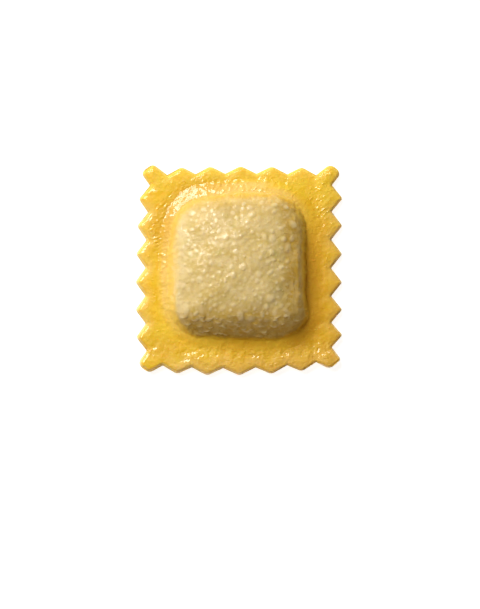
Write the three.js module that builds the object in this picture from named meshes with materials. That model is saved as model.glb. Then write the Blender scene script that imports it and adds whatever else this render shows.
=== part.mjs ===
// One square filled raviolo, lying flat with its filled side up.
//
// Two sheets of egg dough are pressed together round a mound of filling and cut
// out with a fluted wheel, so the raviolo is one piece: a zigzag rim, four
// corner lugs where the cuts cross, and a steep-sided pillow over the filling.
// The dough wraps the filling completely, so the solid is closed and full.
//
// Units are millimetres, +Z is up. The origin lies on the surface that the
// raviolo rests on, under the middle of its outline.

import * as THREE from "three";
import * as BufferGeometryUtils from "three/addons/utils/BufferGeometryUtils.js";

// ---------------------------------------------------------------------------
// Driving dimensions
// ---------------------------------------------------------------------------

// The rim: two pressed sheets of dough.
const RIM_THICKNESS = 1.9;
const RIM_EDGE_RADIUS = 0.7; // the cut rounds the rim's upper edge over
const RIM_HEEL = 0.15; // small round along the lower edge
const WALL_BULGE = 0.1; // the cut wall swells a little at mid height

// The four cut sides. Along a side, `middle` is where its row of teeth is
// centred, `pitch` the wheel's step, and `sway` how far the steps drift to and
// fro. Outwards, `reach` is how far the tips stand from the centre, `lean` and
// `bow` tilt and curve the side, and `depth` is the depth of a tooth. `lug` is
// how much further the two end tips stand out, and `lugRadii` how round each is.
const SIDES = {
  left: {
    teeth: 6, middle: 0.45, pitch: 5.65, sway: 0.8, swayRate: 0.5, swayPhase: 0.09,
    reach: 22.37, lean: -0.35, bow: -0.78, depth: 2.15, tipRadius: 0.7,
    lug: 0.05, lugRadii: [1.2, 1.0],
  },
  right: {
    teeth: 6, middle: 0.74, pitch: 5.58, sway: 0.8, swayRate: 0.7, swayPhase: -0.36,
    reach: 22.17, lean: 0.02, bow: 0.16, depth: 2.4, tipRadius: 0.5,
    lug: -0.4, lugRadii: [0.5, 1.1],
  },
  top: {
    teeth: 5, middle: 0.41, pitch: 6.41, sway: 0.26, swayRate: 1.37, swayPhase: -0.38,
    reach: 22.5, lean: 0, bow: -0.53, depth: 1.65, tipRadius: 1.4,
    lug: 0.85, lugRadii: [1.0, 1.3],
  },
  bottom: {
    teeth: 5, middle: 0.02, pitch: 6.31, sway: 0.8, swayRate: 0.87, swayPhase: 0,
    reach: 22.68, lean: -0.44, bow: -1.37, depth: 1.65, tipRadius: 1.4,
    lug: 0.25, lugRadii: [1.3, 1.2],
  },
};
const SIDE_LENGTH_UNIT = 20; // lean and bow are the change over this length
const VALLEY_RADIUS = 0.25;
const ROUNDING_LIMIT = 0.45; // share of a tooth's edge that the rounding may take

// The pillow is a rounded rectangle in plan. Inwards from its foot, each side
// has a steep wall, and then a shoulder that tilts down towards it. Outwards, a
// low skirt of dough bridges to the rim. Widths are measured from the foot.
const PILLOW_HEIGHT = 7.9; // above the rim
const PILLOW = {
  left: { foot: -15.6, shoulder: 6.2, tilt: 0.35, wall: 3.2, skirt: 1.7, skirtHeight: 0.85 },
  right: { foot: 14.3, shoulder: 6.8, tilt: 0.3, wall: 2.1, skirt: 2.4, skirtHeight: 0.4 },
  top: { foot: 16.6, shoulder: 3.4, tilt: 0.3, wall: 3.2, skirt: 3.0, skirtHeight: 1.2 },
  bottom: { foot: -15.1, shoulder: 6.8, tilt: 0.34, wall: 5.8, skirt: 2.2, skirtHeight: 0.4 },
};
const SHOULDER_SOFTNESS = 1.8;
const WALL_ROUNDNESS = 2.4; // higher keeps the wall steep and rolls it over later
const WALL_FILLET = 1.35; // over 1 eases the wall into the skirt
const SKIRT_EASE = 0.4; // 0 is a straight ramp, 1 eases in and out of it
const CORNER_RADIUS = { middle: 7, change: 0.03 }; // widest at the upper left corner
const SIDE_BLEND = 3; // how far inside a corner's arc its two sides start to blend
const TOP_BOW = { fall: 0.8, middle: 1 }; // the side falls in towards its ends
const BOTTOM_BOW = { fall: 0.6, middle: 3.8 };
const BOW_SPAN = 13;
const CORNER_BULGE = { reach: 0.7, y: -10, spread: 3.5 }; // the lower right corner swells out
const CREST = { x: 0.5, y: -1.8 };
const CROWN = 0.0103; // fall from the crest, per millimetre squared

// Soft lumps that the filling presses up through the dough.
const LUMPS = [
  { height: 0.1, turnsX: 0.52, turnsY: 0.37, start: 0.6 },
  { height: 0.08, turnsX: -0.61, turnsY: 0.75, start: 2.1 },
  { height: 0.07, turnsX: 1.08, turnsY: 0.66, start: 4.0 },
];

// The mesh.
const WALL_STEPS = 2;
const LINE_BUNCHING = 0.6; // 0 spaces the mesh lines evenly, 1 bunches them at the rim
const TEETH_FADE = 6.5; // how far in from the cut the zigzag dies out of the mesh lines

// ---------------------------------------------------------------------------
// Outline
// ---------------------------------------------------------------------------

// The sharp corners of one cut side, as (along, out) pairs: a lug tip, then
// valleys and tips in turn, and a lug tip again.
function zigzagCorners(side) {
  const halfSteps = 2 * (side.teeth + 1);
  return Array.from({ length: halfSteps + 1 }, (_, k) => {
    const step = (k - halfSteps / 2) / 2;
    const along = side.middle + side.pitch * step
      + side.sway * Math.sin(side.swayRate * step + side.swayPhase);
    const t = along / SIDE_LENGTH_UNIT;
    const isTip = k % 2 === 0;
    const isLug = k === 0 || k === halfSteps;
    const out = side.reach + side.lean * t + side.bow * t * t
      - (isTip ? 0 : side.depth) + (isLug ? side.lug : 0);
    const plainRadius = isTip ? side.tipRadius : VALLEY_RADIUS;
    return { along, out, radius: isLug ? side.lugRadii[k / halfSteps] : plainRadius };
  });
}

// A side's corners in plan. Left and right sides run along +Y, the top and
// bottom ones along +X.
const TO_PLAN = {
  left: ({ along, out }) => new THREE.Vector2(-out, along),
  right: ({ along, out }) => new THREE.Vector2(out, along),
  top: ({ along, out }) => new THREE.Vector2(along, out),
  bottom: ({ along, out }) => new THREE.Vector2(along, -out),
};

// Start, middle and end of the arc that rounds a corner.
function roundedCorner(before, corner, after, radius) {
  const toBefore = before.clone().sub(corner);
  const toAfter = after.clone().sub(corner);
  const shorter = Math.min(toBefore.length(), toAfter.length());
  toBefore.normalize();
  toAfter.normalize();
  const halfAngle = Math.acos(THREE.MathUtils.clamp(toBefore.dot(toAfter), -1, 1)) / 2;
  const setback = Math.min(radius / Math.tan(halfAngle), ROUNDING_LIMIT * shorter);
  const fitted = setback * Math.tan(halfAngle);
  const inward = toBefore.clone().add(toAfter).normalize();
  const middle = inward.multiplyScalar(fitted / Math.sin(halfAngle) - fitted).add(corner);
  return [
    corner.clone().addScaledVector(toBefore, setback),
    middle,
    corner.clone().addScaledVector(toAfter, setback),
  ];
}

const corners = Object.fromEntries(Object.entries(SIDES).map(([name, side]) => [
  name,
  zigzagCorners(side).map((corner) => ({ point: TO_PLAN[name](corner), radius: corner.radius })),
]));

// Where two cuts cross, the lug's blunt end runs from the last tip of one side
// to the first tip of the next. The mesh's corner sits half way along it.
function lugMiddle(sideA, endA, sideB, endB) {
  const a = corners[sideA].at(endA).point;
  const b = corners[sideB].at(endB).point;
  return { end: a.clone().add(b).multiplyScalar(0.5), tips: { [sideA]: b, [sideB]: a } };
}

const LUGS = {
  lowLeft: lugMiddle("left", 0, "bottom", 0),
  lowRight: lugMiddle("right", 0, "bottom", -1),
  highLeft: lugMiddle("left", -1, "top", 0),
  highRight: lugMiddle("right", -1, "top", -1),
};

// A whole side, rounded, from the middle of one lug's end to the next.
function cutSide(name, firstLug, lastLug) {
  const row = corners[name];
  const points = [firstLug.end];
  row.forEach(({ point, radius }, k) => {
    const before = k === 0 ? firstLug.tips[name] : row[k - 1].point;
    const after = k === row.length - 1 ? lastLug.tips[name] : row[k + 1].point;
    points.push(...roundedCorner(before, point, after, radius));
  });
  points.push(lastLug.end);
  return points.map((point) => point.clone());
}

const cut = {
  left: cutSide("left", LUGS.lowLeft, LUGS.highLeft),
  right: cutSide("right", LUGS.lowRight, LUGS.highRight),
  bottom: cutSide("bottom", LUGS.lowLeft, LUGS.lowRight),
  top: cutSide("top", LUGS.highLeft, LUGS.highRight),
};

// Puts the outline's box in the middle of the plan, and returns its half sizes.
function centreOutline() {
  const all = Object.values(cut).flat();
  const box = new THREE.Box2().setFromPoints(all);
  const middle = box.getCenter(new THREE.Vector2());
  all.forEach((point) => point.sub(middle));
  return box.getSize(new THREE.Vector2()).multiplyScalar(0.5);
}

const halfSize = centreOutline();

// The outline as one ring, anticlockwise.
const outline = [
  ...cut.bottom.slice(0, -1),
  ...cut.right.slice(0, -1),
  ...cut.top.slice(1).reverse(),
  ...cut.left.slice(1).reverse(),
];

function distanceToCut(point) {
  const nearest = new THREE.Vector2();
  let best = Infinity;
  outline.forEach((start, k) => {
    const end = outline[(k + 1) % outline.length];
    const run = end.clone().sub(start);
    const share = THREE.MathUtils.clamp(point.clone().sub(start).dot(run) / run.lengthSq(), 0, 1);
    nearest.copy(start).addScaledVector(run, share);
    best = Math.min(best, nearest.distanceTo(point));
  });
  return best;
}

// ---------------------------------------------------------------------------
// Plan: where the mesh lines run
// ---------------------------------------------------------------------------

// The sides without their teeth: straight, half way up the teeth.
const plain = {
  x: halfSize.x - SIDES.left.depth / 2,
  y: halfSize.y - SIDES.top.depth / 2,
};

// Spreads the mesh lines over -1 to 1, closer together towards both ends.
function bunched(share) {
  const even = 2 * share - 1;
  return THREE.MathUtils.lerp(even, Math.sin(even * Math.PI / 2), LINE_BUNCHING);
}

// 1 at the cut, easing to 0 at TEETH_FADE in from it.
function teethWeight(inset) {
  return Math.max(0, 1 - inset / TEETH_FADE) ** 2;
}

// The plan position of mesh line crossing (i, j): the plain grid, plus each
// cut side's departure from it, fading inwards. The corner shares are counted
// once, so the mesh meets all four sides exactly.
function planPosition(i, j) {
  const lastI = cut.bottom.length - 1;
  const lastJ = cut.left.length - 1;
  const grid = (a, b) => new THREE.Vector2(
    plain.x * bunched(a / lastI),
    plain.y * bunched(b / lastJ),
  );
  const here = grid(i, j);
  const weight = {
    left: teethWeight(here.x + plain.x),
    right: teethWeight(plain.x - here.x),
    bottom: teethWeight(here.y + plain.y),
    top: teethWeight(plain.y - here.y),
  };
  const moves = [
    [weight.left, cut.left[j], grid(0, j)],
    [weight.right, cut.right[j], grid(lastI, j)],
    [weight.bottom, cut.bottom[i], grid(i, 0)],
    [weight.top, cut.top[i], grid(i, lastJ)],
    [-weight.left * weight.bottom, cut.left[0], grid(0, 0)],
    [-weight.right * weight.bottom, cut.right[0], grid(lastI, 0)],
    [-weight.left * weight.top, cut.left[lastJ], grid(0, lastJ)],
    [-weight.right * weight.top, cut.right[lastJ], grid(lastI, lastJ)],
  ];
  moves.forEach(([share, target, start]) => {
    here.addScaledVector(target.clone().sub(start), share);
  });
  return here;
}

// ---------------------------------------------------------------------------
// Heights
// ---------------------------------------------------------------------------

// How far a place is outside the pillow's foot, negative within it, and the
// measures of its side there, blended round the corners.
function pillowSide(x, y) {
  const fall = (bow) => bow.fall * ((x - bow.middle) / BOW_SPAN) ** 2;
  const rightFoot = PILLOW.right.foot
    + CORNER_BULGE.reach * Math.exp(-(((y - CORNER_BULGE.y) / CORNER_BULGE.spread) ** 2));
  const beyond = {
    left: PILLOW.left.foot - x,
    right: x - rightFoot,
    bottom: PILLOW.bottom.foot + fall(BOTTOM_BOW) - y,
    top: y - PILLOW.top.foot + fall(TOP_BOW),
  };
  const radius = CORNER_RADIUS.middle + CORNER_RADIUS.change * (y - x);
  const overX = Math.max(beyond.left, beyond.right) + radius;
  const overY = Math.max(beyond.bottom, beyond.top) + radius;
  const outside = Math.hypot(Math.max(0, overX), Math.max(0, overY))
    + Math.min(0, Math.max(overX, overY)) - radius;

  const weightX = Math.max(0, overX + SIDE_BLEND) ** 2;
  const weightY = Math.max(0, overY + SIDE_BLEND) ** 2;
  const turn = weightY / Math.max(weightX + weightY, Number.EPSILON);
  const sideX = beyond.left > beyond.right ? PILLOW.left : PILLOW.right;
  const sideY = beyond.bottom > beyond.top ? PILLOW.bottom : PILLOW.top;
  const blend = (measure) => THREE.MathUtils.lerp(sideX[measure], sideY[measure], turn);
  return {
    outside,
    shoulder: blend("shoulder"),
    tilt: blend("tilt"),
    wall: blend("wall"),
    skirt: blend("skirt"),
    skirtHeight: blend("skirtHeight"),
  };
}

// 0 below zero and the value itself above it, with a soft bend between.
function softRamp(value, softness) {
  return softness * Math.log1p(Math.exp(value / softness));
}

// Height of the pillow, with its skirt, above the rim.
function pillowHeight(x, y) {
  const side = pillowSide(x, y);
  const ramp = THREE.MathUtils.clamp(side.outside / side.skirt, 0, 1);
  const eased = THREE.MathUtils.lerp(ramp, THREE.MathUtils.smoothstep(ramp, 0, 1), SKIRT_EASE);
  const skirt = side.skirtHeight * (1 - eased);
  const share = THREE.MathUtils.clamp(1 + side.outside / side.wall, 0, 1);
  const wall = (1 - share ** WALL_ROUNDNESS) ** WALL_FILLET;
  const shoulder = side.tilt * softRamp(side.outside + side.shoulder, SHOULDER_SOFTNESS);
  const crown = CROWN * ((x - CREST.x) ** 2 + (y - CREST.y) ** 2);
  const lumps = LUMPS.reduce((sum, lump) => sum
    + lump.height * Math.sin(lump.turnsX * x + lump.turnsY * y + lump.start), 0);
  return skirt + wall * (PILLOW_HEIGHT - side.skirtHeight - shoulder - crown + lumps);
}

// How far the rounded upper edge has dropped, `inset` in from the cut.
function edgeDrop(inset) {
  const short = Math.max(0, RIM_EDGE_RADIUS - inset);
  return RIM_EDGE_RADIUS - Math.sqrt(RIM_EDGE_RADIUS ** 2 - short ** 2);
}

function topHeight(point) {
  return RIM_THICKNESS + pillowHeight(point.x, point.y) - edgeDrop(distanceToCut(point));
}

// ---------------------------------------------------------------------------
// Solid
// ---------------------------------------------------------------------------

// A subdivided block, bent into shape: its top becomes the filled side, its
// bottom the underside and its four walls the fluted cut.
function ravioloGeometry() {
  const stepsI = cut.bottom.length - 1;
  const stepsJ = cut.left.length - 1;
  let geometry = new THREE.BoxGeometry(1, 1, 1, stepsI, stepsJ, WALL_STEPS);
  geometry.deleteAttribute("normal");
  geometry.deleteAttribute("uv");
  geometry = BufferGeometryUtils.mergeVertices(geometry, 1e-4);
  const position = geometry.getAttribute("position");
  for (let index = 0; index < position.count; index += 1) {
    const i = Math.round((position.getX(index) + 0.5) * stepsI);
    const j = Math.round((position.getY(index) + 0.5) * stepsJ);
    const up = position.getZ(index) + 0.5;
    const plan = planPosition(i, j);
    const onWall = i === 0 || j === 0 || i === stepsI || j === stepsJ;
    const low = onWall ? RIM_HEEL : 0;
    const high = topHeight(plan);
    const swell = onWall ? 1 - WALL_BULGE * (2 * up - 1) ** 2 / halfSize.x : 1;
    position.setXYZ(index, plan.x * swell, plan.y * swell, THREE.MathUtils.lerp(low, high, up));
  }
  geometry.computeVertexNormals();
  return geometry;
}

const eggDough = new THREE.MeshStandardMaterial({
  name: "egg dough",
  color: 0xf0c65a,
  roughness: 0.4,
  metalness: 0,
});

const raviolo = new THREE.Mesh(ravioloGeometry(), eggDough);
raviolo.name = "raviolo";

const group = new THREE.Group();
group.name = "filled_raviolo";
group.add(raviolo);

export default group;
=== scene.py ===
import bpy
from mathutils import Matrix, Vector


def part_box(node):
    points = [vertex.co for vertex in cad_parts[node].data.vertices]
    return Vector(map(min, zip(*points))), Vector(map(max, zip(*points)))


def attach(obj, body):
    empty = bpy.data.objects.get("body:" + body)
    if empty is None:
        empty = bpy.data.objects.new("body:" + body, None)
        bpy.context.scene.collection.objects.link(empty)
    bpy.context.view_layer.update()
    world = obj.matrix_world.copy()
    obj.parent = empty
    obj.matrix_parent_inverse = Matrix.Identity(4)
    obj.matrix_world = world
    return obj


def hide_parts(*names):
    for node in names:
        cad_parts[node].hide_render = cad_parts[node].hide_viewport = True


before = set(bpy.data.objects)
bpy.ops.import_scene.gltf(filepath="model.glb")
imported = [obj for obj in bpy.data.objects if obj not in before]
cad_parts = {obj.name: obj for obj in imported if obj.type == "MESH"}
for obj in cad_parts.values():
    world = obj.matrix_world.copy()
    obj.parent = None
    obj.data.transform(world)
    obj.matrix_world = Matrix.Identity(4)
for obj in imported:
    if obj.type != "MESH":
        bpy.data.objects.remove(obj)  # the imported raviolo, which decides every outer size

"""Looks of one square filled raviolo, laid out as a Blender add-on.

The raviolo is one closed mesh: a fluted rim of two pressed sheets of egg dough
around a steep-sided pillow, whose filling presses grains and folds up through
the thin dough. Shapes are worked out in millimetres and made in metres.
"""

import math
from typing import NamedTuple

import bpy
import numpy as np
from bpy.props import FloatProperty, FloatVectorProperty, IntProperty, PointerProperty
from mathutils import Vector, noise

bl_info = {
    "name": "Filled Raviolo",
    "version": (1, 0, 0),
    "blender": (4, 5, 0),
    "location": "3D View > Sidebar > Raviolo",
    "description": "Models one fluted, filled raviolo with moist egg dough, and a plain stage",
    "category": "Add Mesh",
}

MM = 0.001
NODE = "raviolo"
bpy.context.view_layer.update()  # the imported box, before anything is replaced


# ---- Sizes that shape the raviolo, in millimetres --------------------------


class CutSide(NamedTuple):
    """One fluted side: its row of teeth along the side, and how far they stand out."""

    teeth: int
    middle: float  # where the row of teeth is centred
    pitch: float
    sway: float  # teeth stray from an even pitch by up to this much
    sway_rate: float
    sway_phase: float
    reach: float  # how far out the tips stand at the middle
    lean: float
    bow: float
    depth: float  # of the valleys between the teeth
    lug: float  # how much further out the corner lugs stand
    tip_radius: float
    lug_radii: tuple  # of its end tips, where they round off the lugs: first the left or lower one


CUT_SIDES = {
    "left": CutSide(6, 0.45, 5.65, 0.8, 0.5, 0.09, 22.37, -0.35, -0.78, 2.15, 0.05, 0.7, (1.2, 1.0)),
    "right": CutSide(6, 0.74, 5.58, 0.8, 0.7, -0.36, 22.17, 0.02, 0.16, 2.4, -0.4, 0.5, (0.5, 1.1)),
    "top": CutSide(5, 0.41, 6.41, 0.26, 1.37, -0.38, 22.5, 0.0, -0.53, 1.65, 0.85, 1.4, (1.0, 1.3)),
    "bottom": CutSide(5, 0.02, 6.31, 0.8, 0.87, 0.0, 22.68, -0.44, -1.37, 1.65, 0.25, 1.4, (1.3, 1.2)),
}
SIDE_LENGTH_UNIT = 20.0  # lean and bow are the change over this length
VALLEY_RADIUS = 0.25
ROUNDING_LIMIT = 0.45  # a rounded corner takes up at most this share of an edge

WALL_FLARE = 0.16  # the cut wall leans out towards its lower edge
WALL_SEAM_DEPTH = 0.09  # the line where the two sheets meet
WALL_SEAM_WIDTH = 0.1
HEEL = 0.15  # the lower edge is cut back by this much
EDGE_VARIATION = 0.3  # the rounded edge is that share wider at the left, and narrower at the right
EDGE_VARIATION_SPAN = 20.0  # from the middle
EDGE_VARIATION_ALONG_Y = 0.3  # and a little narrower towards the top and bottom, by this share of that

RIM_ROLL = 0.28  # the rim bends down by this much towards the cut
RIM_ROLL_WIDTH = 2.2
RIM_ROLL_LOST = 0.6  # the share of the roll that is missing at the lower rim
BOTTOM_SWELL = (0.45, -15.8, -20.4)  # how much thicker the lower rim gets, and from where to where
RIGHT_SWELL = (0.2, 16.2, 19.0)
SWELL_WANDER = 1.3  # the swells start unevenly, by about this much
UPPER_RIM = (12.0, 17.0)  # from the pillow's foot to the teeth, in Y
LOWER_RIM = (-12.0, -17.0)


class PillowSide(NamedTuple):
    """One side of the pillow: its foot, and the widths of shoulder, wall and skirt from there."""

    foot: float
    shoulder: float  # how far in from the foot the top starts to slope
    tilt: float  # how steeply it slopes there
    wall: float
    skirt: float
    skirt_height: float
    dough: float  # how far inside the foot the filling starts to show


PILLOW = {
    "left": PillowSide(-15.6, 6.2, 0.35, 3.2, 1.7, 0.7, 2.15),
    "right": PillowSide(14.4, 6.8, 0.3, 2.1, 3.4, 0.5, 1.1),
    "top": PillowSide(16.6, 3.4, 0.16, 3.2, 3.0, 1.2, 1.2),
    "bottom": PillowSide(-15.1, 6.8, 0.34, 5.8, 2.2, 0.4, 0.6),
}
SHOULDER_SOFTNESS = 1.8
WALL_ROUNDNESS = 2.4
WALL_FILLET = 1.35
SKIRT_EASE = 0.4  # 0 is a straight ramp, 1 eases in and out of it
FOOT_WANDER = ((0.25, 4.5, 43.0), (0.16, 1.6, 53.0))  # by how much, over what length, which pattern
FOOT_DRAWN_IN = (0.6, 18.0, 26.0)  # by how much at the upper left corner, and from where to where
CORNER_RADIUS = 7.0
CORNER_RADIUS_CHANGE = 0.03  # per millimetre towards the upper left corner
SIDE_BLEND = 3.0  # how far before a corner the measures of two sides start to blend
TOP_BOW = (0.8, 1.0)  # the side falls in by this much towards its ends, from there
BOTTOM_BOW = (0.6, 3.8)
BOW_SPAN = 13.0
CORNER_BULGE = (0.7, -10.0, 3.5)  # the lower right corner swells out by this much, there, this far
CREST = (0.5, -1.8)
CROWN = 0.0103  # fall from the crest, per millimetre squared
# Soft waves over the top: how high, how fast they turn along X and Y, and where they start.
LUMPS = ((0.1, 0.52, 0.37, 0.6), (0.08, -0.61, 0.75, 2.1), (0.07, 1.08, 0.66, 4.0))

GRAIN_TRIES = 4000
GRAIN_SPACING = 0.95  # two grains are at least this share of their radii apart
GRAIN_SIZES = (0.6, 1.8)  # the smallest and largest, over the mean
GRAIN_ROUNDNESS = 1.2
GRAIN_SHOWS = 0.17  # a grain that is flatter than this, height over radius, is less pale
FILLED_LOW = (-13.6, -14.7)  # the box in which the filling shows through the dough
FILLED_HIGH = (14.6, 15.4)

LIP_COUNT = 75  # folds that droop on the lower flank
LIP_ROWS = (-15.0, -9.3)  # they are scattered between these in Y
LIP_HALF_WIDTH = (0.4, 0.95)  # from the narrowest to the widest

# Mesh density.
TIP_STEPS = 7
VALLEY_STEPS = 5
FLANK_STEPS = 12
LUG_STEPS = 4
WALL_ROWS = 14
LINE_BUNCHING = 0.3  # how much closer mesh lines lie near the ends of a row
TEETH_FADE = 6.5  # how far in from the cut mesh lines still follow the teeth
FURTHEST_INSET = 6.0  # distances to the cut are worked out up to this
NEVER_ZERO = 1e-9  # keeps a division safe


# ---- What a user can change ------------------------------------------------


def length(name, description, default):
    """A length in metres that a user can change."""
    return FloatProperty(
        name=name, description=description, default=default, min=0.0, unit="LENGTH", precision=5
    )


def share(name, description, default):
    """A share from 0 to 1 that a user can change."""
    return FloatProperty(
        name=name, description=description, default=default, min=0.0, max=1.0, subtype="FACTOR"
    )


def colour(name, description, default):
    """A colour that a user can change."""
    return FloatVectorProperty(
        name=name, description=description, default=default, size=3, min=0.0, max=1.0, subtype="COLOR"
    )


def power(name, description, default):
    """A light's power in watts that a user can change."""
    return FloatProperty(name=name, description=description, default=default, min=0.0, unit="POWER")


class RavioloSizes(bpy.types.PropertyGroup):
    rim_thickness: length("Rim thickness", "Two pressed sheets of dough", 1.9 * MM)
    edge_radius: length("Edge radius", "How round the upper edge of the cut is", 0.75 * MM)
    pillow_height: length("Pillow height", "Crest of the pillow above the rim", 7.9 * MM)
    grain_radius: length("Grain size", "Mean radius of the filling's grains", 0.52 * MM)
    grain_height: length("Grain height", "How far a grain of mean size lifts the dough", 0.075 * MM)
    lump_depth: length("Lump depth", "Larger soft lumps of filling", 0.04 * MM)
    fold_depth: length("Fold depth", "Thin folds of dough over the filling", 0.06 * MM)
    lip_depth: length("Lip depth", "Drooping folds on the lower flank", 0.36 * MM)
    wrinkle_depth: length("Wrinkle depth", "Wrinkles on the skirt of the pillow", 0.075 * MM)
    crease_depth: length("Crease depth", "Creases that run out across the rim", 0.07 * MM)
    mottle_depth: length("Mottle depth", "Soft orange-peel unevenness of the dough", 0.05 * MM)
    seed: IntProperty(name="Seed", description="Scatter of the grains", default=7, min=0)


class RavioloColours(bpy.types.PropertyGroup):
    dough: colour("Dough", "Egg dough of the rim", (0.80, 0.56, 0.030))
    deep_dough: colour("Deep dough", "Dough where it is thick and wet", (0.79, 0.50, 0.014))
    # Also paints sheen on the upper left walls, which face the light, and on the skirt's highlight band.
    pale_dough_and_sheen: colour("Pale dough and sheen", "Dough stretched thin over the filling", (0.77, 0.525, 0.145))
    # Mostly painted shadow and shade: the pillow's shadow on the right and lower rim, darker towards the
    # lower right and on upper walls that face the light. Also deeper dough at the foot.
    foot_dough_and_shade: colour("Foot dough and shade", "Dough where it folds up to the pillow", (0.62, 0.325, 0.010))
    edge_dough: colour("Edge dough", "Dough pressed thin along the cut", (0.80, 0.555, 0.140))
    filling: colour("Filling", "Filling seen through the dough", (0.63, 0.50, 0.225))
    filling_shade: colour("Filling shade", "Hollows between the grains", (0.57, 0.435, 0.145))
    # Painted shade on the filling: on the flanks that face away from the light, and faintly at the upper
    # left.
    flank: colour("Flank", "Filling seen aslant through more dough", (0.50, 0.305, 0.030))
    # Also paints highlight along the rims of the drooping folds on the lower flank.
    grain: colour("Grain", "Pale grains under the dough", (0.72, 0.60, 0.34))
    herb: colour("Herb", "Faint green tint of chopped herbs", (0.42, 0.38, 0.07))
    cut_face: colour("Cut face", "Dough along the cut", (0.88, 0.55, 0.08))


class RavioloStage(bpy.types.PropertyGroup):
    floor: colour("Floor", "Plain pale floor", (0.45, 0.45, 0.45))
    key_power: power("Key light", "Large soft light from the upper left", 3.45)
    fill_power: power("Fill light", "Weak light from the front", 0.9)
    key_colour: colour("Key colour", "Slightly warm studio light", (1.0, 0.96, 0.92))
    fill_colour: colour("Fill colour", "Warm light thrown back by the room", (1.0, 0.78, 0.45))
    room: colour("Room", "Warm light from all round", (0.07, 0.05, 0.03))
    floor_glow: share("Floor glow", "Light from under the floor, as on a light table", 0.88)


# ---- Outline of the cut ----------------------------------------------------

TO_PLAN = {
    "left": lambda along, out: (-out, along),
    "right": lambda along, out: (out, along),
    "top": lambda along, out: (along, out),
    "bottom": lambda along, out: (along, -out),
}


def zigzag_corners(name):
    """The sharp corners of one side in plan: a lug tip, valleys and tips in turn, a lug tip."""
    side = CUT_SIDES[name]
    half_steps = 2 * (side.teeth + 1)
    corners = []
    for k in range(half_steps + 1):
        step = (k - half_steps / 2) / 2
        sway = side.sway * math.sin(side.sway_rate * step + side.sway_phase)
        along = side.middle + side.pitch * step + sway
        t = along / SIDE_LENGTH_UNIT
        out = side.reach + side.lean * t + side.bow * t * t
        is_lug = k in (0, half_steps)
        if is_lug:
            out += side.lug
        elif k % 2:
            out -= side.depth
        corners.append(TO_PLAN[name](along, out))
    return [np.array(corner) for corner in corners]


def corner_radius(name, k):
    """How round a side's kth corner is, and how many points draw it."""
    last = 2 * (CUT_SIDES[name].teeth + 1)
    if k in (0, last):
        return CUT_SIDES[name].lug_radii[k // last], TIP_STEPS
    if k % 2:
        return VALLEY_RADIUS, VALLEY_STEPS
    return CUT_SIDES[name].tip_radius, TIP_STEPS


def rounded_corner(before, corner, after, radius, steps):
    """An arc of that many points in place of a sharp corner."""
    to_before, to_after = before - corner, after - corner
    shorter = min(np.linalg.norm(to_before), np.linalg.norm(to_after))
    to_before = to_before / np.linalg.norm(to_before)
    to_after = to_after / np.linalg.norm(to_after)
    half = math.acos(np.clip(to_before @ to_after, -1.0, 1.0)) / 2
    setback = min(radius / math.tan(half), ROUNDING_LIMIT * shorter)
    inward = (to_before + to_after) / np.linalg.norm(to_before + to_after)
    centre = corner + inward * setback / math.cos(half)
    start = corner + to_before * setback - centre
    end = corner + to_after * setback - centre
    turn = math.pi - 2 * half
    return [
        centre + (math.sin((1 - t) * turn) * start + math.sin(t * turn) * end) / math.sin(turn)
        for t in np.linspace(0.0, 1.0, steps)
    ]


def between(start, end, steps):
    """Points evenly spaced between two others, without those two."""
    return [start + (end - start) * k / (steps + 1) for k in range(1, steps + 1)]


def cut_outline():
    """The four sides of the cut, each from the middle of a lug to the next, fitted to the CAD box."""
    corners = {name: zigzag_corners(name) for name in CUT_SIDES}
    lugs = {  # the ends of a side: the neighbour there, and which of its tips it shares the lug with
        "left": (("bottom", 0), ("top", 0)),
        "right": (("bottom", -1), ("top", -1)),
        "bottom": (("left", 0), ("right", 0)),
        "top": (("left", -1), ("right", -1)),
    }
    cut = {}
    for name, row in corners.items():
        (low_name, low_end), (high_name, high_end) = lugs[name]
        low_tip, high_tip = corners[low_name][low_end], corners[high_name][high_end]
        chain = [low_tip, *row, high_tip]
        points = [(low_tip + row[0]) / 2]
        for k in range(len(row)):
            radius, steps = corner_radius(name, k)
            arc = rounded_corner(chain[k], chain[k + 1], chain[k + 2], radius, steps)
            points += between(points[-1], arc[0], FLANK_STEPS if k else LUG_STEPS) + arc
        lug_middle = (row[-1] + high_tip) / 2
        points += between(points[-1], lug_middle, LUG_STEPS) + [lug_middle]
        cut[name] = np.array(points)
    return fitted_to_frame(cut)


def fitted_to_frame(cut):
    """Moves and scales the outline so that its box is the CAD node's, in millimetres."""
    every = np.concatenate(list(cut.values()))
    low, high = every.min(axis=0), every.max(axis=0)
    frame_low, frame_high = (np.array(corner[:2]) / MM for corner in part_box(NODE))
    scale = (frame_high - frame_low) / (high - low)
    return {name: frame_low + (points - low) * scale for name, points in cut.items()}


# ---- Plan of the mesh ------------------------------------------------------


def bunched(count):
    """Mesh line places from -1 to 1, a little closer together near both ends."""
    even = np.linspace(-1.0, 1.0, count)
    return even + LINE_BUNCHING * (np.sin(even * math.pi / 2) - even)


def teeth_weight(inset):
    """1 at the cut, easing to 0 further in, where mesh lines no longer follow the teeth."""
    return np.clip(1 - inset / TEETH_FADE, 0.0, 1.0) ** 2


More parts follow.
